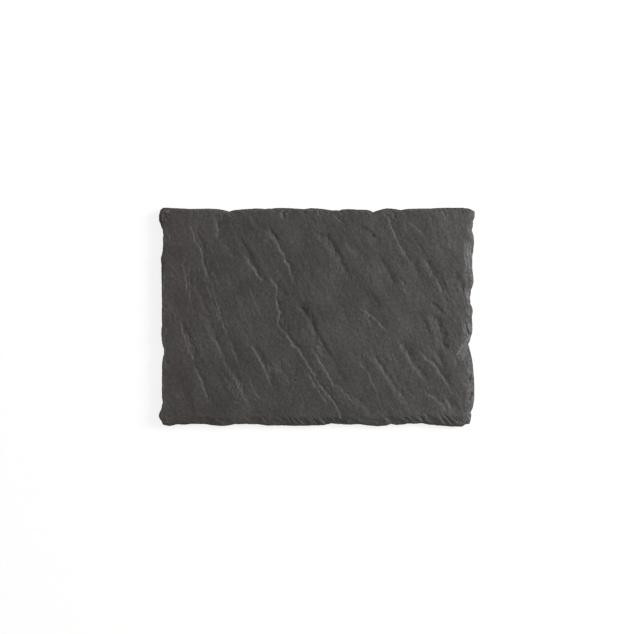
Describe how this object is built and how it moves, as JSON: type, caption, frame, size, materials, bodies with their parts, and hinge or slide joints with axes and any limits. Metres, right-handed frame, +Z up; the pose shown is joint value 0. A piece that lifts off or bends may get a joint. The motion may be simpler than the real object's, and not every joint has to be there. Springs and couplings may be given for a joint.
{
  "type": "slate serving board",
  "caption": "Rectangular riven slate serving board with hand-chipped bevelled edges and diagonal cleavage grooves, on low self-adhesive rubber feet.",
  "frame": {"origin": "on the table, under the middle of the board's outline", "axes": "+X along the board's length, towards the picture's right; +Y across it, towards the picture's top; +Z up, out of the serving face"},
  "size_m": [0.3, 0.208, 0.0092],
  "materials": {
    "slate": "matte",
    "foot_rubber": "matte",
    "adhesive": "matte"
  },
  "bodies": {
    "root": {"slate_slab": "slate", "foot_front_left": "foot_rubber", "foot_front_right": "foot_rubber", "foot_back_left": "foot_rubber", "foot_back_right": "foot_rubber", "adhesive_front_left": "adhesive", "adhesive_front_right": "adhesive", "adhesive_back_left": "adhesive", "adhesive_back_right": "adhesive"}
  },
  "joints": []
}
